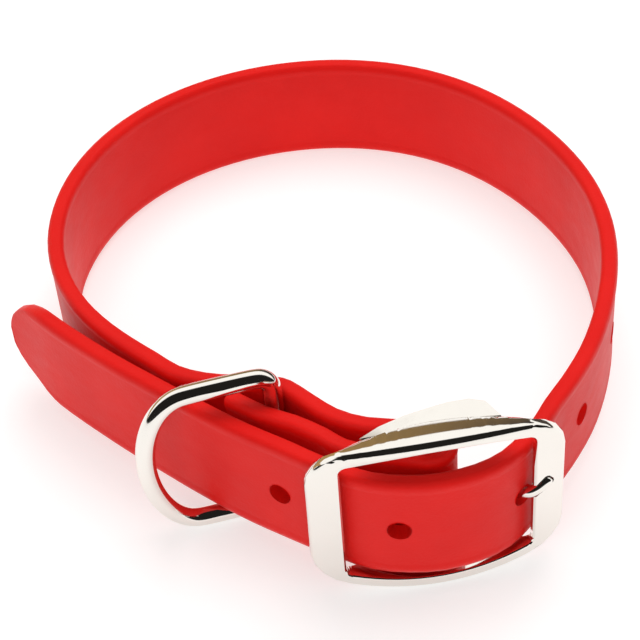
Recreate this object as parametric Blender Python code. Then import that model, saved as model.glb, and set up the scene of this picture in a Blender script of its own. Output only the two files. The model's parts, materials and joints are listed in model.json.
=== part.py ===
"""A buckled dog collar of coated webbing, lying on a table.

The collar is modelled level, with the lower edge of its strap at height zero and the centre of its loop
at the origin. It is then tipped back until it rests on the strap's back edge and the buckle's lower rail,
which stands a little below the strap, and moved so that the middle of its outline is over the origin.
"""

import bisect
import math

import bmesh
import bpy
from mathutils import Matrix, Vector
from mathutils.geometry import interpolate_bezier

MM = 0.001

# Strap
STRAP_WIDTH = 25.4 * MM
STRAP_THICKNESS = 3.6 * MM
EDGE_ROUNDING = 1.2 * MM
CLEARANCE = 0.3 * MM
LOOP_RADIUS = 61.4 * MM
POINT_LENGTH = 14.0 * MM
HOLE_RADIUS = 2.3 * MM
HOLE_PITCH = 24.6 * MM
HOLES_EACH_SIDE = 2

# Buckle frame, with the window that the strap passes through
WINDOW_HALF_LENGTH = 18.5 * MM
WINDOW_HALF_HEIGHT = 14.8 * MM
WINDOW_CORNER = 1.2 * MM
END_BAR_WIDTH = 6.4 * MM
RAIL_HEIGHT = 3.1 * MM
RAIL_BOW = 2.5 * MM
RAIL_DEPTH = 7.8 * MM
RAIL_TAPER = 2.3 * MM
END_BAR_DEPTH = 2.3 * MM
FRAME_ARCH = 3.7 * MM
FRAME_CORNER = 6.5 * MM
FRAME_EDGE = 0.9 * MM
FRAME_BACK_EDGE = 0.4 * MM
CENTRE_BAR_RADIUS = 1.7 * MM
LUG_HALF_LENGTH = 11.5 * MM
LUG_DROP = 1.0 * MM
LUG_THICKNESS = 1.8 * MM

# Buckle's place on the loop, with angles in degrees
BUCKLE_DIRECTION = -78.8
BUCKLE_REACH = 1.192
BUCKLE_YAW = 6.6
BUCKLE_RISE = 2.1 * MM
CENTRE_BAR_OFFSET = 0.2 * MM
CENTRE_BAR_SETBACK = 6.0 * MM

# Tongue
TONGUE_RADIUS = 1.15 * MM
TONGUE_INSET = 2.9 * MM
EYE_START = 370.0
EYE_END = 90.0
SLOT_CLEARANCE = 0.45 * MM
SLOT_REACH = 8.0 * MM

# D-ring
RING_WIRE_RADIUS = 2.05 * MM
RING_HALF_HEIGHT = 16.7 * MM
RING_SLACK = 0.3 * MM
RING_REACH = 26.8 * MM
RING_LEG = 17.0 * MM
RING_CORNER = 3.2 * MM
RING_TO_CENTRE_BAR = 32.4 * MM
FOLD_SLOPE = 34.3
RING_SWING = 50.3
RING_LEAN = 2.5

# Fold and its rivets
RIVET_RADIUS = 1.3 * MM
RIVET_HEAD_RADIUS = 2.4 * MM
RIVET_HEAD_HEIGHT = 0.6 * MM
RIVET_SHARE = 0.38
TAIL_LENGTH = 8.4 * MM
TAIL_CLOSING = 0.6
TAIL_RIVET_PLACE = 4.4 * MM

# How far the loop's radius departs from a circle: order, share along the cosine, share along the sine
LOOP_SHAPE = (
    (2, -0.051, -0.076),
    (3, -0.034, 0.0245),
    (4, 0.0145, 0.0135),
    (5, 0.006, -0.0055),
)
LOOP_START = -50.0
LOOP_END = 230.0
LOOP_STEPS = 36

# The strap's point: share of the point's length from the tip, share of the strap's half width
POINT_SHAPE = (
    (0.00, 0.26),
    (0.03, 0.38),
    (0.10, 0.52),
    (0.24, 0.68),
    (0.45, 0.83),
    (0.70, 0.94),
    (0.88, 0.99),
    (1.00, 1.00),
)

# The free end beside the loop: angle on the loop, gap to the loop in strap thicknesses
FREE_END = (
    (188.6, 2.25),
    (193.0, 1.60),
    (199.0, 1.18),
    (205.0, 0.84),
    (211.0, 0.64),
    (218.0, 0.53),
    (226.0, 0.44),
)

# The free end beside the fold: share of the way from the D-ring to the centre bar, distance of the strap's
# middle from the straight line between them in strap thicknesses
BESIDE_FOLD = (
    (-0.420, 2.00),
    (-0.073, 2.66),
    (0.223, 3.02),
    (0.505, 3.34),
)

# The strap through the buckle: place along the frame in half frame lengths, place of the strap's middle in
# front of the frame's ends in strap thicknesses
THROUGH_BUCKLE = (
    (-0.46, 0.25),
    (-0.29, 0.64),
    (-0.06, 0.94),
    (0.18, 0.89),
    (0.40, 0.56),
    (0.57, 0.00),
    (0.69, -0.66),
    (0.89, -2.02),
    (0.99, -2.92),
)

# The two layers of the fold between the D-ring and the centre bar: share of the way from the D-ring,
# distance of the layer's middle from the straight line between them in strap thicknesses
INNER_LAYER = (
    (0.19, -0.62),
    (0.39, -0.10),
    (0.55, -0.10),
    (0.74, -0.52),
)
OUTER_LAYER = (
    (0.74, 1.50),
    (0.55, 1.75),
    (0.38, 1.40),
    (0.19, 1.18),
)

# How far the strap leans with the D-ring: share of the way from the D-ring to the centre bar, share of the
# ring's lean
STRAP_LEAN = (
    (-1.40, 0.0),
    (-0.18, 1.0),
    (0.18, 1.0),
    (0.62, 0.0),
)

# The inner layer between the loop and the D-ring: distance past the ring in ring wire radii, distance from
# the same straight line in strap thicknesses
RING_APPROACH = (
    (6.8, -0.08),
    (3.2, -0.74),
)

# The tongue behind the strap: share of the tongue hole's place along the frame, depth behind the frame's
# ends as a share of the centre bar's setback
TONGUE_BEHIND = (
    (0.33, 0.50),
    (0.65, 0.66),
    (0.82, 0.80),
    (0.90, 0.76),
)

# The tongue in front of the end bar: place along the frame in half frame lengths, height in front of the
# frame's ends and rise above the middle of the strap in tongue radii
TONGUE_IN_FRONT = (
    (0.665, -0.35, 0.35),
    (0.700, 0.45, 0.80),
    (0.750, 0.87, 1.60),
    (0.820, 0.82, 2.80),
    (0.875, 0.55, 3.80),
)

# Round end of the tongue: distance before its end in tongue radii, share of its radius
TONGUE_TIP = (
    (0.60, 1.00),
    (0.25, 0.85),
    (0.00, 0.50),
)

# The lug that carries each end of the centre bar, seen from above: share of its half length, share of its
# depth behind the frame's ends
LUG_OUTLINE = (
    (-1.20, 0.30),
    (-0.85, 0.58),
    (-0.40, 0.80),
    (0.05, 0.93),
    (0.35, 1.00),
    (0.70, 1.00),
    (0.95, 0.84),
    (1.12, 0.30),
)

# Fineness of the curves, with angles in degrees
FINE_STEP = 0.5 * MM
LINE_STEP = 3.2 * MM
BEND_ANGLE = 10.0
ARC_ANGLE = 22.5
WIRE_SIDES = 12
HOLE_SIDES = 20
EDGE_ANGLES = (0.0, 45.0, 90.0)
RAIL_STEPS = 16
BAR_STEPS = 4
CORNER_STEPS = 4

# Sizes that follow from the others
HALF_THICKNESS = STRAP_THICKNESS / 2
MIDDLE_HEIGHT = STRAP_WIDTH / 2
FRAME_HALF_LENGTH = WINDOW_HALF_LENGTH + END_BAR_WIDTH
TONGUE_PLACE = WINDOW_HALF_LENGTH - TONGUE_INSET
WINDOW_CENTRE_HEIGHT = MIDDLE_HEIGHT + BUCKLE_RISE
BEND_RADIUS = CENTRE_BAR_RADIUS + CLEARANCE + HALF_THICKNESS
RING_LAYER_GAP = RING_WIRE_RADIUS + CLEARANCE + HALF_THICKNESS
EYE_RADIUS = CENTRE_BAR_RADIUS + CLEARANCE + TONGUE_RADIUS
RING_MIDDLE_HEIGHT = RING_HALF_HEIGHT - RING_WIRE_RADIUS - CLEARANCE - RING_SLACK
LUG_DEPTH = CENTRE_BAR_SETBACK + CENTRE_BAR_RADIUS + CLEARANCE

UP = Vector((0.0, 0.0, 1.0))


def direction(angle):
    return Vector((math.cos(math.radians(angle)), math.sin(math.radians(angle)), 0.0))


# Axes of the buckle and of the fold
BUCKLE_MIDDLE = direction(BUCKLE_DIRECTION) * LOOP_RADIUS * BUCKLE_REACH
FRAME_ALONG = direction(BUCKLE_YAW)
FRAME_OUT = direction(BUCKLE_YAW - 90.0)
FOLD_ALONG = direction(BUCKLE_YAW - FOLD_SLOPE)
FOLD_OUT = direction(BUCKLE_YAW - FOLD_SLOPE - 90.0)

# Axes of the D-ring: the way its bow points, and its bar, which leans back at the top
RING_OUT = direction(BUCKLE_YAW - FOLD_SLOPE - 90.0 - RING_SWING)
RING_BACK = RING_OUT.cross(UP)
RING_UP = UP * math.cos(math.radians(RING_LEAN)) + RING_BACK * math.sin(math.radians(RING_LEAN))
RING_SIDE = RING_OUT.cross(RING_UP)


def at_buckle(along, out, height=0.0):
    return BUCKLE_MIDDLE + FRAME_ALONG * along + FRAME_OUT * out + UP * height


CENTRE_BAR = at_buckle(-CENTRE_BAR_OFFSET, -CENTRE_BAR_SETBACK)
RING_BAR = CENTRE_BAR - FOLD_ALONG * RING_TO_CENTRE_BAR


def at_fold(along, out, height=0.0):
    return RING_BAR + FOLD_ALONG * along + FOLD_OUT * out + UP * height


def width_axis(point):
    place = (point - RING_BAR).dot(FOLD_ALONG) / RING_TO_CENTRE_BAR
    lean = 0.0
    if abs((point - RING_BAR).dot(FOLD_OUT)) < RING_REACH:
        for (near, start), (far, end) in zip(STRAP_LEAN, STRAP_LEAN[1:]):
            if near < place <= far:
                share = (place - near) / (far - near)
                lean = start + (end - start) * share * share * (3 - 2 * share)
    return UP.lerp(RING_UP, lean).normalized()


def loop_point(angle, out=0.0):
    turn = math.radians(angle)
    share = sum(
        cosine * math.cos(order * turn) + sine * math.sin(order * turn)
        for order, cosine, sine in LOOP_SHAPE
    )
    return direction(angle) * (LOOP_RADIUS * (1.0 + share) + out)


def arc(centre, first_axis, second_axis, radius, start, end):
    steps = max(1, round(abs(end - start) / ARC_ANGLE))
    points = []
    for step in range(steps + 1):
        turn = math.radians(start + (end - start) * step / steps)
        points.append(centre + (first_axis * math.cos(turn) + second_axis * math.sin(turn)) * radius)
    return points


def smooth_line(knots, step):
    chords = [after - before for before, after in zip(knots, knots[1:])]
    slopes = [chords[0].normalized()]
    for before, after in zip(chords, chords[1:]):
        mixed = before.normalized() * after.length + after.normalized() * before.length
        slopes.append(mixed / (before.length + after.length))
    slopes.append(chords[-1].normalized())
    line = [knots[0]]
    for place, chord in enumerate(chords):
        handle = chord.length / 3
        points = interpolate_bezier(
            knots[place],
            knots[place] + slopes[place] * handle,
            knots[place + 1] - slopes[place + 1] * handle,
            knots[place + 1],
            math.ceil(chord.length / step) + 1,
        )
        line.extend(points[1:])
    return line


class Course:
    """A fine line through space with the distance walked along it."""

    def __init__(self, knots):
        self.points = smooth_line(knots, FINE_STEP)
        self.walked = [0.0]
        for before, after in zip(self.points, self.points[1:]):
            self.walked.append(self.walked[-1] + (after - before).length)
        self.length = self.walked[-1]

    def point(self, distance):
        index = bisect.bisect_right(self.walked, distance) - 1
        index = min(max(index, 0), len(self.points) - 2)
        span = self.walked[index + 1] - self.walked[index]
        share = (distance - self.walked[index]) / span
        return self.points[index].lerp(self.points[index + 1], share)

    def heading(self, distance):
        ahead = self.point(distance + FINE_STEP)
        behind = self.point(distance - FINE_STEP)
        return (ahead - behind).normalized()

    def stations(self, first):
        places = list(first)
        for distance in self.walked:
            gap = distance - places[-1]
            if gap < FINE_STEP:
                continue
            turn = self.heading(distance).angle(self.heading(places[-1]))
            if gap >= LINE_STEP or turn >= math.radians(BEND_ANGLE):
                places.append(distance)
        places[-1] = self.length
        return places


def new_object(name, mesh_builder, material=None):
    bmesh.ops.recalc_face_normals(mesh_builder, faces=mesh_builder.faces)
    mesh = bpy.data.meshes.new(name)
    mesh_builder.to_mesh(mesh)
    mesh_builder.free()
    made = bpy.data.objects.new(name, mesh)
    bpy.context.scene.collection.objects.link(made)
    if material is not None:
        mesh.materials.append(material)
    return made


def loft(rings, closed=False, builder=None):
    builder = builder or bmesh.new()
    rows = [[builder.verts.new(point) for point in ring] for ring in rings]
    pairs = list(zip(rows, rows[1:]))
    if closed:
        pairs.append((rows[-1], rows[0]))
    else:
        builder.faces.new(rows[0])
        builder.faces.new(rows[-1])
    for row, following in pairs:
        for place in range(len(row)):
            after = (place + 1) % len(row)
            builder.faces.new((row[place], row[after], following[after], following[place]))
    return builder


def circle(centre, first_axis, second_axis, radius, sides):
    turns = [math.tau * side / sides for side in range(sides)]
    return [
        centre + (first_axis * math.cos(turn) + second_axis * math.sin(turn)) * radius
        for turn in turns
    ]


def wire(points, across, radii, closed=False, builder=None):
    rings = []
    count = len(points)
    for place, point in enumerate(points):
        if closed:
            heading = points[(place + 1) % count] - points[place - 1]
        else:
            heading = points[min(place + 1, count - 1)] - points[max(place - 1, 0)]
        side = heading.cross(across).normalized()
        upright = side.cross(heading).normalized()
        rings.append(circle(point, upright, side, radii[place], WIRE_SIDES))
    return loft(rings, closed, builder)


def cylinder(start, end, radius, sides, builder=None):
    axis = (end - start).normalized()
    first = axis.orthogonal().normalized()
    second = axis.cross(first)
    rings = [circle(point, first, second, radius, sides) for point in (start, end)]
    return loft(rings, builder=builder)


def combine(target, tool, operation):
    step = target.modifiers.new(operation.lower(), "BOOLEAN")
    step.operation = operation
    step.solver = "EXACT"
    step.object = tool
    evaluated = target.evaluated_get(bpy.context.evaluated_depsgraph_get())
    joined = bpy.data.meshes.new_from_object(evaluated)
    target.modifiers.clear()
    target.data = joined
    bpy.data.objects.remove(tool)


def shade(item, smooth_angle):
    builder = bmesh.new()
    builder.from_mesh(item.data)
    for face in builder.faces:
        face.smooth = True
    for edge in builder.edges:
        edge.smooth = edge.is_manifold and edge.calc_face_angle() < math.radians(smooth_angle)
    builder.to_mesh(item.data)
    builder.free()


def material(name, colour, metallic, roughness):
    made = bpy.data.materials.new(name)
    made.use_nodes = True
    shader = made.node_tree.nodes["Principled BSDF"]
    shader.inputs["Base Color"].default_value = (*colour, 1.0)
    shader.inputs["Metallic"].default_value = metallic
    shader.inputs["Roughness"].default_value = roughness
    made.diffuse_color = (*colour, 1.0)
    return made


for leftover in list(bpy.data.objects):
    bpy.data.objects.remove(leftover)

webbing = material("coated_webbing", (0.72, 0.02, 0.015), 0.0, 0.45)
plate = material("nickel_plate", (0.83, 0.80, 0.76), 1.0, 0.12)


# Line of the strap's middle, from the free tip through the buckle and round the loop to the folded tail
knots = [loop_point(angle, (1 + gap) * STRAP_THICKNESS) for angle, gap in FREE_END]
knots += [at_fold(share * RING_TO_CENTRE_BAR, out * STRAP_THICKNESS) for share, out in BESIDE_FOLD]
knots += [at_buckle(along * FRAME_HALF_LENGTH, out * STRAP_THICKNESS) for along, out in THROUGH_BUCKLE]
for step in range(LOOP_STEPS + 1):
    knots.append(loop_point(LOOP_START + (LOOP_END - LOOP_START) * step / LOOP_STEPS))
knots += [at_fold(-past * RING_WIRE_RADIUS, out * STRAP_THICKNESS) for past, out in RING_APPROACH]
knots.append(at_fold(0.0, -RING_LAYER_GAP))
knots += [at_fold(share * RING_TO_CENTRE_BAR, out * STRAP_THICKNESS) for share, out in INNER_LAYER]
knots += arc(CENTRE_BAR, FOLD_ALONG, FOLD_OUT, BEND_RADIUS, -90.0, 90.0)
knots += [at_fold(share * RING_TO_CENTRE_BAR, out * STRAP_THICKNESS) for share, out in OUTER_LAYER]
knots.append(at_fold(0.0, RING_LAYER_GAP))
knots.append(at_fold(-TAIL_LENGTH, RING_LAYER_GAP * TAIL_CLOSING))
course = Course(knots)


def point_share(distance):
    for (near, narrow), (far, wide) in zip(POINT_SHAPE, POINT_SHAPE[1:]):
        place = distance / POINT_LENGTH
        if place <= far:
            return narrow + (wide - narrow) * (place - near) / (far - near)
    return 1.0


def strap_ring(distance):
    middle = course.point(distance)
    upright = width_axis(middle)
    out = course.heading(distance).cross(upright).normalized()
    half_width = STRAP_WIDTH / 2 * point_share(distance)
    ring = []
    for side, rise, start in ((1, 1, 0.0), (-1, 1, 90.0), (-1, -1, 180.0), (1, -1, 270.0)):
        for angle in EDGE_ANGLES:
            turn = direction(start + angle) * EDGE_ROUNDING
            offset = side * (HALF_THICKNESS - EDGE_ROUNDING) + turn.x
            height = rise * (half_width - EDGE_ROUNDING) + turn.y
            ring.append(middle + UP * MIDDLE_HEIGHT + out * offset + upright * height)
    return ring


# Strap, before its holes and the slot for the tongue
places = course.stations([share * POINT_LENGTH for share, _ in POINT_SHAPE])
strap = new_object("strap", loft([strap_ring(place) for place in places]), webbing)


def frame_place(distance):
    return (course.point(distance) - BUCKLE_MIDDLE).dot(FRAME_ALONG)


# The tongue's hole is where the strap passes the tongue's place while it is in front of the centre bar
near_tongue = [
    distance for distance in course.walked
    if abs(frame_place(distance) - TONGUE_PLACE) < FINE_STEP
    and (course.point(distance) - CENTRE_BAR).dot(FRAME_OUT) > 0
]
tongue_hole = min(near_tongue, key=lambda distance: abs(frame_place(distance) - TONGUE_PLACE))
hole_middle = course.point(tongue_hole) + UP * MIDDLE_HEIGHT
hole_out = course.heading(tongue_hole).cross(UP)

cuts = bmesh.new()
for number in range(-HOLES_EACH_SIDE, HOLES_EACH_SIDE + 1):
    distance = tongue_hole + number * HOLE_PITCH
    place = course.point(distance)
    middle = place + UP * MIDDLE_HEIGHT
    out = course.heading(distance).cross(width_axis(place)).normalized()
    reach = out * (HALF_THICKNESS + CLEARANCE)
    cylinder(middle - reach, middle + reach, HOLE_RADIUS, HOLE_SIDES, cuts)


# Faces of the fold's two layers beside a rivet, measured from the line between the bars
bend_start = next(
    index for index, distance in enumerate(course.walked)
    if distance > tongue_hole and (course.points[index] - CENTRE_BAR).length < BEND_RADIUS + FINE_STEP
)
fold_length = RING_TO_CENTRE_BAR + 2 * TAIL_LENGTH
fold_start = bisect.bisect_left(course.walked, course.walked[bend_start] - fold_length)
inner_run = course.points[fold_start:bend_start]
outer_run = course.points[bend_start:]


def seat(run, along, side):
    reach = RIVET_HEAD_RADIUS + HALF_THICKNESS / 2
    heights = []
    for point in run:
        place = (point - RING_BAR).dot(FOLD_ALONG)
        if abs(place - along) < reach:
            heights.append(side * (point - RING_BAR).dot(FOLD_OUT))
    return side * (max(heights) + HALF_THICKNESS + CLEARANCE)


rivet_places = (RIVET_SHARE * RING_TO_CENTRE_BAR, -TAIL_RIVET_PLACE)
rivet_seats = [(seat(inner_run, place, -1), seat(outer_run, place, 1)) for place in rivet_places]
rivet_axes = [FOLD_ALONG.cross(width_axis(at_fold(place, 0.0))).normalized() for place in rivet_places]
for place, axis, (back, front) in zip(rivet_places, rivet_axes, rivet_seats):
    middle = at_fold(place, 0.0, MIDDLE_HEIGHT)
    start = middle + axis * (back - RIVET_HEAD_HEIGHT)
    end = middle + axis * (front + RIVET_HEAD_HEIGHT)
    cylinder(start, end, RIVET_RADIUS + CLEARANCE, WIRE_SIDES, cuts)
combine(strap, new_object("cuts", cuts), "DIFFERENCE")

# Slot for the tongue: a slice round the fold's bend at half height, through both layers beside the bar
slot_half = TONGUE_RADIUS + SLOT_CLEARANCE
slot_front = BEND_RADIUS + HALF_THICKNESS + CLEARANCE
slot_rings = []
for height in (MIDDLE_HEIGHT - slot_half, MIDDLE_HEIGHT + slot_half):
    ring = arc(CENTRE_BAR + UP * height, FOLD_ALONG, FOLD_OUT, slot_front, -90.0, 90.0)
    ring.append(at_fold(RING_TO_CENTRE_BAR - SLOT_REACH, slot_front + HOLE_RADIUS / 2, height))
    ring.append(at_fold(RING_TO_CENTRE_BAR - SLOT_REACH, -slot_front, height))
    slot_rings.append(ring)
combine(strap, new_object("slot", loft(slot_rings)), "DIFFERENCE")


# Outline round the window: a rectangle with round corners, its long sides bowed outwards
def outline(half_length, half_height, corner, bow):
    flat = []
    half_bar, half_rail = half_height - corner, half_length - corner
    sides = (
        ((half_length, -half_bar), (half_length, half_bar), BAR_STEPS, 0.0),
        ((half_rail, half_height), (-half_rail, half_height), RAIL_STEPS, 90.0),
        ((-half_length, half_bar), (-half_length, -half_bar), BAR_STEPS, 180.0),
        ((-half_rail, -half_height), (half_rail, -half_height), RAIL_STEPS, 270.0),
    )
    for start, end, steps, turn in sides:
        start, end = Vector((*start, 0.0)), Vector((*end, 0.0))
        flat += [start.lerp(end, step / steps) for step in range(steps + 1)]
        centre = end - direction(turn) * corner
        for step in range(1, CORNER_STEPS):
            flat.append(centre + direction(turn + 90.0 * step / CORNER_STEPS) * corner)
    bowed = []
    for point in flat:
        lift = bow * (1 - (point.x / WINDOW_HALF_LENGTH) ** 2) * point.y / half_height
        bowed.append(Vector((point.x, point.y + lift, 0.0)))
    return bowed


def front_place(along):
    return FRAME_ARCH * (1 - (along / FRAME_HALF_LENGTH) ** 2)


def swell(along):
    return max(0.0, 1 - (along / WINDOW_HALF_LENGTH) ** 2)


def back_place(along):
    return front_place(along) - END_BAR_DEPTH - (RAIL_DEPTH - END_BAR_DEPTH) * swell(along)


def frame_ring(inner, outer):
    across = (outer - inner).normalized()
    corner = FRAME_EDGE * (1 - math.cos(math.radians(45)))
    back = FRAME_BACK_EDGE
    taper = RAIL_TAPER * swell(outer.x)
    profile = (
        (inner, back, front_place, 0.0),
        (outer, -FRAME_EDGE, front_place, 0.0),
        (outer, -corner, front_place, -corner),
        (outer, 0.0, front_place, -FRAME_EDGE),
        (outer, -taper, back_place, back),
        (outer, -taper - back, back_place, 0.0),
        (inner, back, back_place, 0.0),
        (inner, 0.0, back_place, back),
        (inner, 0.0, front_place, -back),
    )
    ring = []
    for base, step, face, shift in profile:
        flat = base + across * step
        ring.append(at_buckle(flat.x, face(flat.x) + shift, WINDOW_CENTRE_HEIGHT + flat.y))
    return ring


window = outline(WINDOW_HALF_LENGTH, WINDOW_HALF_HEIGHT, WINDOW_CORNER, RAIL_BOW)
rim = outline(FRAME_HALF_LENGTH, WINDOW_HALF_HEIGHT + RAIL_HEIGHT, FRAME_CORNER, RAIL_BOW)
frame = new_object("buckle_frame", loft([frame_ring(*pair) for pair in zip(window, rim)], closed=True), plate)

# Lugs behind the rails and the centre bar between them
lug_low = WINDOW_HALF_HEIGHT + RAIL_BOW - LUG_DROP
lug_high = lug_low + LUG_THICKNESS
for side in (1, -1):
    rings = []
    for height in (lug_low, lug_high):
        rings.append([
            at_buckle(
                along * LUG_HALF_LENGTH,
                -out * LUG_DEPTH,
                WINDOW_CENTRE_HEIGHT + side * height,
            )
            for along, out in LUG_OUTLINE
        ])
    combine(frame, new_object("lug", loft(rings)), "UNION")
bar_end = UP * (lug_low + lug_high) / 2
bar_middle = CENTRE_BAR + UP * WINDOW_CENTRE_HEIGHT
bar = cylinder(bar_middle - bar_end, bar_middle + bar_end, CENTRE_BAR_RADIUS, 2 * WIRE_SIDES)
combine(frame, new_object("bar", bar), "UNION")


# Tongue: an eye round the centre bar, out through the strap's hole and over the end bar
tongue_knots = arc(CENTRE_BAR, FRAME_ALONG, FRAME_OUT, EYE_RADIUS, EYE_START, EYE_END)
for along, depth in TONGUE_BEHIND:
    tongue_knots.append(at_buckle(along * TONGUE_PLACE, -depth * CENTRE_BAR_SETBACK))
hole_floor = hole_middle - UP * MIDDLE_HEIGHT
tongue_knots.append(hole_floor - hole_out * TONGUE_RADIUS)
tongue_knots.append(hole_floor + hole_out * TONGUE_RADIUS / 2)
for along, out, rise in TONGUE_IN_FRONT:
    tongue_knots.append(at_buckle(along * FRAME_HALF_LENGTH, out * TONGUE_RADIUS, rise * TONGUE_RADIUS))
tongue_course = Course([knot + UP * MIDDLE_HEIGHT for knot in tongue_knots])


def tongue_wire(gap):
    radius = TONGUE_RADIUS + gap
    end = tongue_course.length + gap
    places, shares = [], []
    tip_start = end - TONGUE_TIP[0][0] * TONGUE_RADIUS
    for place in tongue_course.stations([0.0]):
        if place < tip_start - FINE_STEP:
            places.append(place)
            shares.append(1.0)
    for before, share in TONGUE_TIP:
        places.append(end - before * TONGUE_RADIUS)
        shares.append(share)
    points = [tongue_course.point(place) for place in places]
    return wire(points, UP, [radius * share for share in shares])


tongue = new_object("buckle_tongue", tongue_wire(0.0), plate)
combine(frame, new_object("notch", tongue_wire(CLEARANCE)), "DIFFERENCE")

# D-ring: a bar inside the fold, two legs and a half ellipse, all in one plane
bar_top = RING_HALF_HEIGHT - RING_CORNER
ring_points = [RING_UP * (bar_top * step / 2) for step in range(-1, 2)]
ring_points += arc(RING_OUT * RING_CORNER + RING_UP * bar_top, RING_OUT, RING_UP, RING_CORNER, 180.0, 90.0)
leg_middle = (RING_CORNER + RING_LEG) / 2
ring_points.append(RING_OUT * leg_middle + RING_UP * RING_HALF_HEIGHT)
bow_reach = RING_REACH - RING_LEG
for step in range(RAIL_STEPS + 1):
    turn = math.radians(90.0 - 180.0 * step / RAIL_STEPS)
    along = RING_LEG + bow_reach * math.cos(turn)
    ring_points.append(RING_OUT * along + RING_UP * (RING_HALF_HEIGHT * math.sin(turn)))
ring_points.append(RING_OUT * leg_middle - RING_UP * RING_HALF_HEIGHT)
ring_points += arc(RING_OUT * RING_CORNER - RING_UP * bar_top, RING_OUT, RING_UP, RING_CORNER, 270.0, 180.0)
ring_centre = RING_BAR + UP * MIDDLE_HEIGHT + RING_UP * (RING_MIDDLE_HEIGHT - MIDDLE_HEIGHT)
ring_points = [ring_centre + point for point in ring_points]
ring_wire = wire(ring_points, RING_SIDE, [RING_WIRE_RADIUS] * len(ring_points), closed=True)
d_ring = new_object("d_ring", ring_wire, plate)

# Rivets through the two layers of the fold, one each side of the D-ring's bar
rivets = []
for number, (place, axis, (back, front)) in enumerate(zip(rivet_places, rivet_axes, rivet_seats), start=1):
    head = RIVET_HEAD_RADIUS
    profile = (
        (back - RIVET_HEAD_HEIGHT, head * 0.6),
        (back - RIVET_HEAD_HEIGHT / 2, head),
        (back, head),
        (back, RIVET_RADIUS),
        (front, RIVET_RADIUS),
        (front, head),
        (front + RIVET_HEAD_HEIGHT / 2, head),
        (front + RIVET_HEAD_HEIGHT, head * 0.6),
    )
    middle = at_fold(place, 0.0, MIDDLE_HEIGHT)
    upright = axis.cross(FOLD_ALONG)
    rings = [circle(middle + axis * out, FOLD_ALONG, upright, radius, WIRE_SIDES) for out, radius in profile]
    rivets.append(new_object(f"fold_rivet_{number}", loft(rings), plate))


# Lying on the table: tipped back about the strap's lower edge until strap and frame rest together
def lowest(item, turn):
    return min((turn @ vertex.co).z for vertex in item.data.vertices)


level, steep = 0.0, 0.1
for _ in range(30):
    tilt = (level + steep) / 2
    turn = Matrix.Rotation(-tilt, 4, "X")
    if lowest(frame, turn) < lowest(strap, turn):
        level = tilt
    else:
        steep = tilt

pieces = [strap, frame, tongue, d_ring, *rivets]
turn = Matrix.Rotation(-tilt, 4, "X")
turned = [turn @ vertex.co for item in pieces for vertex in item.data.vertices]
middle = [(min(point[axis] for point in turned) + max(point[axis] for point in turned)) / 2 for axis in (0, 1)]
floor = min(point.z for point in turned)
placing = Matrix.Translation((-middle[0], -middle[1], -floor)) @ turn
hinge = placing @ ring_centre
for item in pieces:
    item.data.transform(placing)
    item.data.update()
    shade(item, 35.0)
d_ring.data.transform(Matrix.Translation(-hinge))
d_ring.location = hinge
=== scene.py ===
"""The looks of a buckled dog collar: satin red coated webbing and bright nickel plate on a white table."""

import json
import math

import bmesh
import bpy
from mathutils import Matrix, Vector


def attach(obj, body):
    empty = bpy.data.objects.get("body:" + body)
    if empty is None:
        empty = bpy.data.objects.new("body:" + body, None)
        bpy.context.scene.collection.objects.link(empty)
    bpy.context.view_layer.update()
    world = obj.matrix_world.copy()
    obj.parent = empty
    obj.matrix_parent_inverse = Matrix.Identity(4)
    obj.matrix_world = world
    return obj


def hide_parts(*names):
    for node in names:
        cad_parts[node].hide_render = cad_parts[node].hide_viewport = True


MM = 0.001

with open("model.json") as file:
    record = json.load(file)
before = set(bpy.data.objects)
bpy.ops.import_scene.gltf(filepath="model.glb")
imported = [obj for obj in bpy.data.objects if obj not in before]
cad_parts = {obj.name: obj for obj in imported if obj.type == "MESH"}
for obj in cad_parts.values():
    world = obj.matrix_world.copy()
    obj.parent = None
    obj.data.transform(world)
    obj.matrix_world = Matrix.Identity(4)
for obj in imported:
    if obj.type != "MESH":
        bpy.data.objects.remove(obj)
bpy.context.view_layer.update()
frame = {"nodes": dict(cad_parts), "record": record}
NODES = frame["nodes"]

# Camera: the place it looks at, its distance and angles in degrees, and its lens and sensor in millimetres
CAMERA_TARGET = Vector((1.03, 6.42, 0.0)) * MM
CAMERA_DISTANCE = 394.96 * MM
CAMERA_ELEVATION = 44.52
CAMERA_ROLL = -4.717
CAMERA_LENS = 97.6
CAMERA_SENSOR = 36.0
CAMERA_NEAR = 10.0 * MM

# Strap: its coated lip along both edges, and the rounding of punched and cut edges
STRAP_HEIGHT = 25.4 * MM
LIP_WIDTH = 1.9 * MM
LIP_FADE = 1.1 * MM
LIP_DEPTH = 0.16 * MM
PUNCHED_EDGE = 0.28 * MM

# Plated pieces: rounding of their worked edges, and how far a wire's corners stand out before its rounding
FRAME_EDGE = 0.34 * MM
RIVET_EDGE = 0.2 * MM
WIRE_SWELL = 0.02 * MM
WIRE_ROUNDS = 2

# Buckle frame: the middle of its window, its angles in degrees and the sizes of its window, bars and rails
FRAME_MIDDLE = Vector((20.37, -65.86, 20.27)) * MM
FRAME_YAW = 6.6
FRAME_TILT = -2.309
WINDOW_HALF_LENGTH = 18.5 * MM
WINDOW_HALF_HEIGHT = 14.8 * MM
FRAME_HALF_LENGTH = 24.9 * MM
RAIL_BOW = 2.5 * MM
FRAME_ARCH = 3.7 * MM
END_BAR_DEPTH = 2.3 * MM
RAIL_DEPTH = 7.8 * MM

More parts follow.
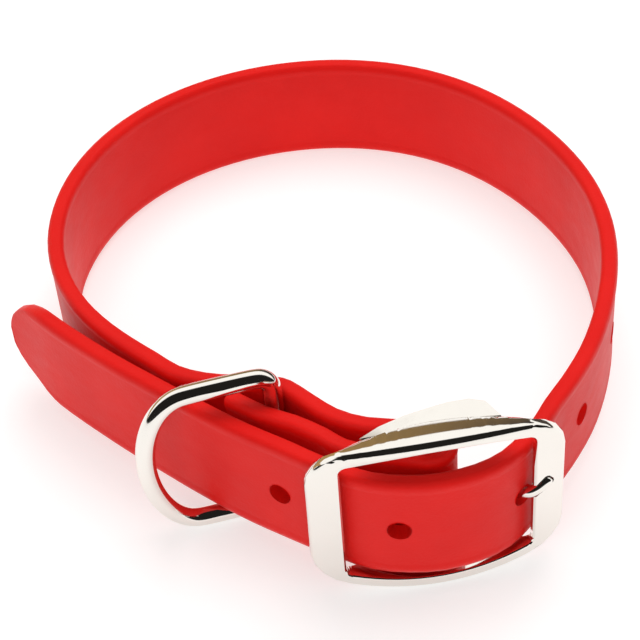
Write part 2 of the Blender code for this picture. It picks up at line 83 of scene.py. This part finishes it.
# Crown of the rails' outer faces: how far above the window they start, the crown's rise in the middle, the
# fall of each rail's front edge, and the shares of a rail's depth that are crowned and that are smoothed
OUTER_FACE = 0.75 * MM
CROWN = 0.75 * MM
UPPER_FRONT_DROP = 1.3 * MM
LOWER_FRONT_DROP = 0.3 * MM
CROWNED_SHARE = (-0.02, 1.02)
SMOOTHED_SHARE = 0.8
CROWN_CUTS = 3
SMOOTHING_ROUNDS = 3

# Table and lights, in metres and watts
TABLE_HALF_SIZE = 3.0
SOFT_WHITE = (1.0, 0.99, 0.98, 1.0)
SKY_STRENGTH = 0.42
KEY_PLACE = (0.15, 0.45, 1.0)
KEY_SIZE = (0.9, 0.9)
KEY_POWER = 8.5
FILL_PLACE = (-0.25, -0.9, 0.55)
FILL_SIZE = (0.8, 0.6)
FILL_POWER = 2.6

# Room seen in the plating: its size in metres, its colours, and where the bright strip starts and ends, in
# shares of the way from the front over the top to the back
ROOM_RADIUS = 2.4
DARK_ROOM = (0.015, 0.014, 0.013)
BRIGHT_STRIP = (1.15, 1.14, 1.12)
WARM_WALL = (0.46, 0.29, 0.11)
DIM_WALL = (0.07, 0.055, 0.045)
STRIP_START = (0.52, 0.55)
STRIP_END = (0.786, 0.80)
STRIP_UNEVEN = 0.006

MERGE = 0.01 * MM


def picked_up(name):
    """A merged copy of a CAD node's shape, ready to be worked on."""
    shape = bmesh.new()
    shape.from_mesh(NODES[name].data)
    bmesh.ops.remove_doubles(shape, verts=shape.verts, dist=MERGE)
    return shape


def flat_faces_joined(shape, within):
    bmesh.ops.dissolve_limit(
        shape,
        angle_limit=math.radians(within),
        verts=shape.verts,
        edges=shape.edges,
    )


def rounded(shape, sharper_than, width, segments):
    corner = math.radians(sharper_than)
    bmesh.ops.bevel(
        shape,
        geom=[edge for edge in shape.edges if edge.is_manifold and edge.calc_face_angle() > corner],
        offset=width,
        offset_type="OFFSET",
        affect="EDGES",
        segments=segments,
        profile=0.5,
        material=-1,
        clamp_overlap=True,
    )


def placed(name, shape, material):
    mesh = bpy.data.meshes.new(name)
    shape.to_mesh(mesh)
    shape.free()
    mesh.materials.clear()
    mesh.materials.append(material)
    piece = bpy.data.objects.new(name, mesh)
    bpy.context.scene.collection.objects.link(piece)
    return piece


def finished(name, shape, material, corner_angle, crease_angle):
    """The worked shape as a piece, smooth except over its sharp corners and creases."""
    for face in shape.faces:
        face.smooth = True
    for edge in shape.edges:
        turn = math.degrees(edge.calc_face_angle_signed(0.0))
        edge.smooth = -crease_angle < turn < corner_angle
    return placed(name, shape, material)


def shown_for(node, piece):
    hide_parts(node)
    return piece


def flats_kept_flat(piece):
    """Broad faces keep their own direction, so that only the rounded edges between them turn."""
    even = piece.modifiers.new("even", "WEIGHTED_NORMAL")
    even.mode = "FACE_AREA_WITH_ANGLE"
    even.weight = 50
    even.keep_sharp = True


class Finish:
    """A node material in the making, its patterns read in the object's own space."""

    def __init__(self, name):
        self.material = bpy.data.materials.new(name)
        self.material.use_nodes = True
        self.nodes = self.material.node_tree.nodes
        self.links = self.material.node_tree.links
        self.shader = self.nodes["Principled BSDF"]
        self.place = self.nodes.new("ShaderNodeTexCoord").outputs["Object"]

    def noise(self, scale, detail=3.0, roughness=0.5, stretch=(1.0, 1.0, 1.0)):
        mapping = self.nodes.new("ShaderNodeMapping")
        mapping.inputs["Scale"].default_value = stretch
        self.links.new(self.place, mapping.inputs["Vector"])
        made = self.nodes.new("ShaderNodeTexNoise")
        made.inputs["Scale"].default_value = scale
        made.inputs["Detail"].default_value = detail
        made.inputs["Roughness"].default_value = roughness
        self.links.new(mapping.outputs["Vector"], made.inputs["Vector"])
        return made.outputs["Fac"]

    def pebbles(self, scale):
        made = self.nodes.new("ShaderNodeTexVoronoi")
        made.inputs["Scale"].default_value = scale
        self.links.new(self.place, made.inputs["Vector"])
        return made.outputs["Distance"]

    def ranged(self, value, low, high, start=0.3, end=0.7):
        made = self.nodes.new("ShaderNodeMapRange")
        made.inputs["From Min"].default_value = start
        made.inputs["From Max"].default_value = end
        made.inputs["To Min"].default_value = low
        made.inputs["To Max"].default_value = high
        self.links.new(value, made.inputs["Value"])
        return made.outputs["Result"]

    def mixed(self, value, first, second):
        made = self.nodes.new("ShaderNodeMix")
        made.data_type = "RGBA"
        made.inputs["A"].default_value = (*first, 1.0)
        made.inputs["B"].default_value = (*second, 1.0)
        self.links.new(value, made.inputs["Factor"])
        return made.outputs["Result"]

    def bumped(self, value, distance, strength, before=None):
        made = self.nodes.new("ShaderNodeBump")
        made.inputs["Distance"].default_value = distance
        made.inputs["Strength"].default_value = strength
        self.links.new(value, made.inputs["Height"])
        if before is not None:
            self.links.new(before, made.inputs["Normal"])
        return made.outputs["Normal"]

    def worked(self, operation, first, second):
        made = self.nodes.new("ShaderNodeMath")
        made.operation = operation
        for socket, value in zip(made.inputs, (first, second)):
            if isinstance(value, bpy.types.NodeSocket):
                self.links.new(value, socket)
            else:
                socket.default_value = value
        return made.outputs["Value"]

    def set(self, **values):
        for name, value in values.items():
            socket = self.shader.inputs[name.replace("_", " ")]
            if isinstance(value, bpy.types.NodeSocket):
                self.links.new(value, socket)
            else:
                socket.default_value = value


def coated_webbing():
    made = Finish("coated_webbing")
    cloudy = made.ranged(made.noise(scale=70.0, detail=4.0), 0.0, 1.0)
    grain = made.noise(scale=2600.0, roughness=0.6)
    pebbled = made.pebbles(scale=1500.0)
    rubbed = made.noise(scale=160.0, detail=5.0, roughness=0.65, stretch=(1.0, 1.0, 2.5))
    uneven = made.bumped(made.noise(scale=140.0, detail=2.0), distance=0.20 * MM, strength=0.05)
    embossed = made.bumped(pebbled, distance=0.05 * MM, strength=0.5, before=uneven)
    grained = made.bumped(grain, distance=0.03 * MM, strength=0.5, before=embossed)
    made.set(
        Base_Color=made.mixed(cloudy, (0.74, 0.006, 0.004), (0.80, 0.008, 0.005)),
        Roughness=made.ranged(rubbed, 0.42, 0.52),
        Normal=grained,
        Specular_IOR_Level=0.2,
        Sheen_Weight=0.03,
        Sheen_Roughness=0.4,
    )
    return made.material


def nickel_plate(name, roughness):
    made = Finish(name)
    wiped = made.noise(scale=420.0, detail=4.0, roughness=0.6, stretch=(1.0, 0.25, 1.0))
    rubbed = made.noise(scale=90.0)
    scuffed = made.noise(scale=1500.0, detail=2.0, stretch=(1.0, 0.12, 1.0))
    waves = made.bumped(rubbed, distance=0.20 * MM, strength=0.06)
    scuffs = made.bumped(scuffed, distance=0.01 * MM, strength=0.10, before=waves)
    made.set(
        Base_Color=made.mixed(rubbed, (0.82, 0.79, 0.74), (0.87, 0.84, 0.79)),
        Metallic=1.0,
        Roughness=made.ranged(wiped, *roughness),
        Normal=scuffs,
    )
    return made.material


def strap():
    """The coating stands proud as a lip along both edges, and the punched holes have soft rims."""
    shape = picked_up("strap")
    flat_faces_joined(shape, within=0.6)
    lower_edge = frame["record"]["mounts"][0]
    foot = Vector(lower_edge["pos_m"])
    upright = -Vector(lower_edge["axis"]).normalized()
    for level in (LIP_WIDTH, LIP_WIDTH + LIP_FADE / 2, LIP_WIDTH + LIP_FADE):
        for cut in (level, STRAP_HEIGHT - level):
            bmesh.ops.bisect_plane(
                shape,
                geom=[*shape.verts, *shape.edges, *shape.faces],
                dist=MERGE,
                plane_co=foot + upright * cut,
                plane_no=upright,
            )
    rounded(shape, sharper_than=50.0, width=PUNCHED_EDGE, segments=3)
    shape.normal_update()
    moves = []
    for vertex in shape.verts:
        height = (vertex.co - foot).dot(upright)
        from_edge = min(height, STRAP_HEIGHT - height)
        share = min(max((from_edge - LIP_WIDTH) / LIP_FADE, 0.0), 1.0)
        level_normal = vertex.normal - upright * vertex.normal.dot(upright)
        moves.append((vertex, level_normal * (-LIP_DEPTH * share * share * (3 - 2 * share))))
    for vertex, move in moves:
        vertex.co += move
    piece = finished("webbing_strap", shape, coated_webbing(), corner_angle=60.0, crease_angle=60.0)
    flats_kept_flat(piece)
    return shown_for("strap", piece)


def rail_place(point, along_axis, back_axis, up_axis):
    """Whether a point is on a rail's outer face, with its share of the depth, the swell and the side."""
    place = point - FRAME_MIDDLE
    along, out, up = place.dot(along_axis), -place.dot(back_axis), place.dot(up_axis)
    swell = 1 - (along / WINDOW_HALF_LENGTH) ** 2
    front = FRAME_ARCH * (1 - (along / FRAME_HALF_LENGTH) ** 2)
    share = (front - out) / (END_BAR_DEPTH + (RAIL_DEPTH - END_BAR_DEPTH) * swell)
    outside = swell > 0 and abs(up) > WINDOW_HALF_HEIGHT + RAIL_BOW * swell + OUTER_FACE
    crowned = outside and CROWNED_SHARE[0] < share < CROWNED_SHARE[1]
    return crowned, share, swell, math.copysign(1.0, up)


def buckle_frame():
    """The cast frame: the outer faces of its bowed rails are crowned from front to back."""
    shape = picked_up("buckle_frame")
    tilt = Matrix.Rotation(math.radians(FRAME_TILT), 3, "X")
    yaw = Matrix.Rotation(math.radians(FRAME_YAW), 3, "Z")
    axes = (tilt @ yaw).col
    rails = [edge for edge in shape.edges if all(rail_place(vertex.co, *axes)[0] for vertex in edge.verts)]
    bmesh.ops.subdivide_edges(shape, edges=rails, cuts=CROWN_CUTS, use_grid_fill=True)
    smoothed = []
    for vertex in shape.verts:
        crowned, share, swell, side = rail_place(vertex.co, *axes)
        if crowned:
            drop = UPPER_FRONT_DROP if side > 0 else LOWER_FRONT_DROP
            lift = CROWN * math.sin(math.pi * share) - drop * (1 - share) ** 2
            vertex.co += axes[2] * (lift * swell * side)
            if share < SMOOTHED_SHARE:
                smoothed.append(vertex)
    for _ in range(SMOOTHING_ROUNDS):
        bmesh.ops.smooth_vert(
            shape,
            verts=smoothed,
            factor=0.5,
            use_axis_x=True,
            use_axis_y=True,
            use_axis_z=True,
        )
    rounded(shape, sharper_than=50.0, width=FRAME_EDGE, segments=3)
    plate = nickel_plate("plated_frame", (0.05, 0.11))
    piece = finished("cast_buckle_frame", shape, plate, corner_angle=50.0, crease_angle=9.0)
    flats_kept_flat(piece)
    return shown_for("buckle_frame", piece)


def round_wire(node, name, roughness):
    """Bent round wire: its triangles joined in pairs again, then subdivided for a true round."""
    shape = picked_up(node)
    bmesh.ops.join_triangles(
        shape,
        faces=shape.faces,
        angle_face_threshold=math.radians(40.0),
        angle_shape_threshold=math.radians(60.0),
    )
    shape.normal_update()
    for vertex in shape.verts:
        vertex.co += vertex.normal * WIRE_SWELL
    plate = nickel_plate(f"{name}_plate", roughness)
    piece = finished(name, shape, plate, corner_angle=80.0, crease_angle=80.0)
    smoother = piece.modifiers.new("round", "SUBSURF")
    smoother.levels = WIRE_ROUNDS
    smoother.render_levels = WIRE_ROUNDS
    return shown_for(node, piece)


def fold_rivet(number):
    node = f"fold_rivet_{number}"
    shape = picked_up(node)
    flat_faces_joined(shape, within=1.0)
    rounded(shape, sharper_than=40.0, width=RIVET_EDGE, segments=2)
    plate = nickel_plate(f"rivet_{number}_plate", (0.12, 0.2))
    piece = finished(f"rivet_{number}", shape, plate, corner_angle=45.0, crease_angle=40.0)
    return shown_for(node, piece)


def camera():
    slope = math.radians(CAMERA_ELEVATION)
    back = Vector((0.0, -math.cos(slope), math.sin(slope)))
    up = Vector((0.0, math.sin(slope), math.cos(slope)))
    right = Vector((1.0, 0.0, 0.0))
    roll = math.radians(CAMERA_ROLL)
    turned_right = right * math.cos(roll) + up * math.sin(roll)
    turned_up = up * math.cos(roll) - right * math.sin(roll)
    data = bpy.data.cameras.new("camera")
    data.lens = CAMERA_LENS
    data.sensor_width = CAMERA_SENSOR
    data.clip_start = CAMERA_NEAR
    made = bpy.data.objects.new("camera", data)
    bpy.context.scene.collection.objects.link(made)
    turn = Matrix((turned_right, turned_up, back)).transposed().to_4x4()
    made.matrix_world = Matrix.Translation(CAMERA_TARGET + back * CAMERA_DISTANCE) @ turn
    bpy.context.scene.camera = made


def soft_light(name, place, size, power):
    """A broad light turned to the collar; the plating shows the room in its place."""
    data = bpy.data.lights.new(name, "AREA")
    data.shape = "RECTANGLE"
    data.size, data.size_y = size
    data.energy = power
    made = bpy.data.objects.new(name, data)
    bpy.context.scene.collection.objects.link(made)
    made.location = Vector(place)
    made.rotation_euler = (-made.location).to_track_quat("-Z", "Y").to_euler()
    made.visible_glossy = False


def room():
    """A dome that shows only in reflections: dark in front, then a bright strip and warm walls behind."""
    shape = bmesh.new()
    bmesh.ops.create_uvsphere(shape, u_segments=32, v_segments=16, radius=ROOM_RADIUS)
    made = Finish("room")
    split = made.nodes.new("ShaderNodeSeparateXYZ")
    made.links.new(made.place, split.inputs["Vector"])
    front = made.worked("MULTIPLY", split.outputs["Y"], -1.0)
    over = made.worked("ARCTAN2", split.outputs["Z"], front)
    share = made.worked("DIVIDE", over, math.pi)
    uneven = made.ranged(made.noise(scale=1.6), -STRIP_UNEVEN, STRIP_UNEVEN)
    place = made.worked("ADD", share, uneven)
    across = made.ranged(split.outputs["X"], 0.0, 1.0, start=-1.0, end=0.9)
    walls = made.mixed(across, WARM_WALL, DIM_WALL)
    strip = made.ranged(place, 0.0, 1.0, *STRIP_START)
    wall = made.ranged(place, 0.0, 1.0, *STRIP_END)
    lit = made.mixed(strip, DARK_ROOM, BRIGHT_STRIP)
    final = made.nodes.new("ShaderNodeMix")
    final.data_type = "RGBA"
    made.links.new(wall, final.inputs["Factor"])
    made.links.new(lit, final.inputs["A"])
    made.links.new(walls, final.inputs["B"])
    made.set(
        Base_Color=(0.0, 0.0, 0.0, 1.0),
        Roughness=1.0,
        Specular_IOR_Level=0.0,
        Emission_Color=final.outputs["Result"],
        Emission_Strength=1.0,
    )
    piece = placed("room", shape, made.material)
    piece.visible_camera = False
    piece.visible_diffuse = False
    piece.visible_shadow = False
    piece.visible_transmission = False


def table_top():
    shape = bmesh.new()
    bmesh.ops.create_grid(shape, x_segments=1, y_segments=1, size=TABLE_HALF_SIZE)
    made = Finish("white_table")
    made.set(
        Base_Color=made.mixed(made.noise(scale=14.0), (0.55, 0.55, 0.55), (0.57, 0.57, 0.57)),
        Roughness=0.7,
        Specular_IOR_Level=0.1,
        Emission_Color=SOFT_WHITE,
        Emission_Strength=0.57,
    )
    placed("table_top", shape, made.material)


def studio():
    table_top()
    world = bpy.data.worlds.new("studio")
    bpy.context.scene.world = world
    world.use_nodes = True
    background = world.node_tree.nodes["Background"]
    background.inputs["Color"].default_value = SOFT_WHITE
    background.inputs["Strength"].default_value = SKY_STRENGTH
    soft_light("key", KEY_PLACE, KEY_SIZE, KEY_POWER)
    soft_light("fill", FILL_PLACE, FILL_SIZE, FILL_POWER)
    room()
    bpy.context.scene.view_settings.view_transform = "Standard"


camera()
studio()

PIECES = [
    (strap(), "collar"),
    (buckle_frame(), "collar"),
    (round_wire("buckle_tongue", "wire_tongue", (0.06, 0.12)), "collar"),
    (round_wire("d_ring", "welded_d_ring", (0.05, 0.10)), "ring"),
    (fold_rivet(1), "collar"),
    (fold_rivet(2), "collar"),
]
for piece, body in PIECES:
    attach(piece, body)
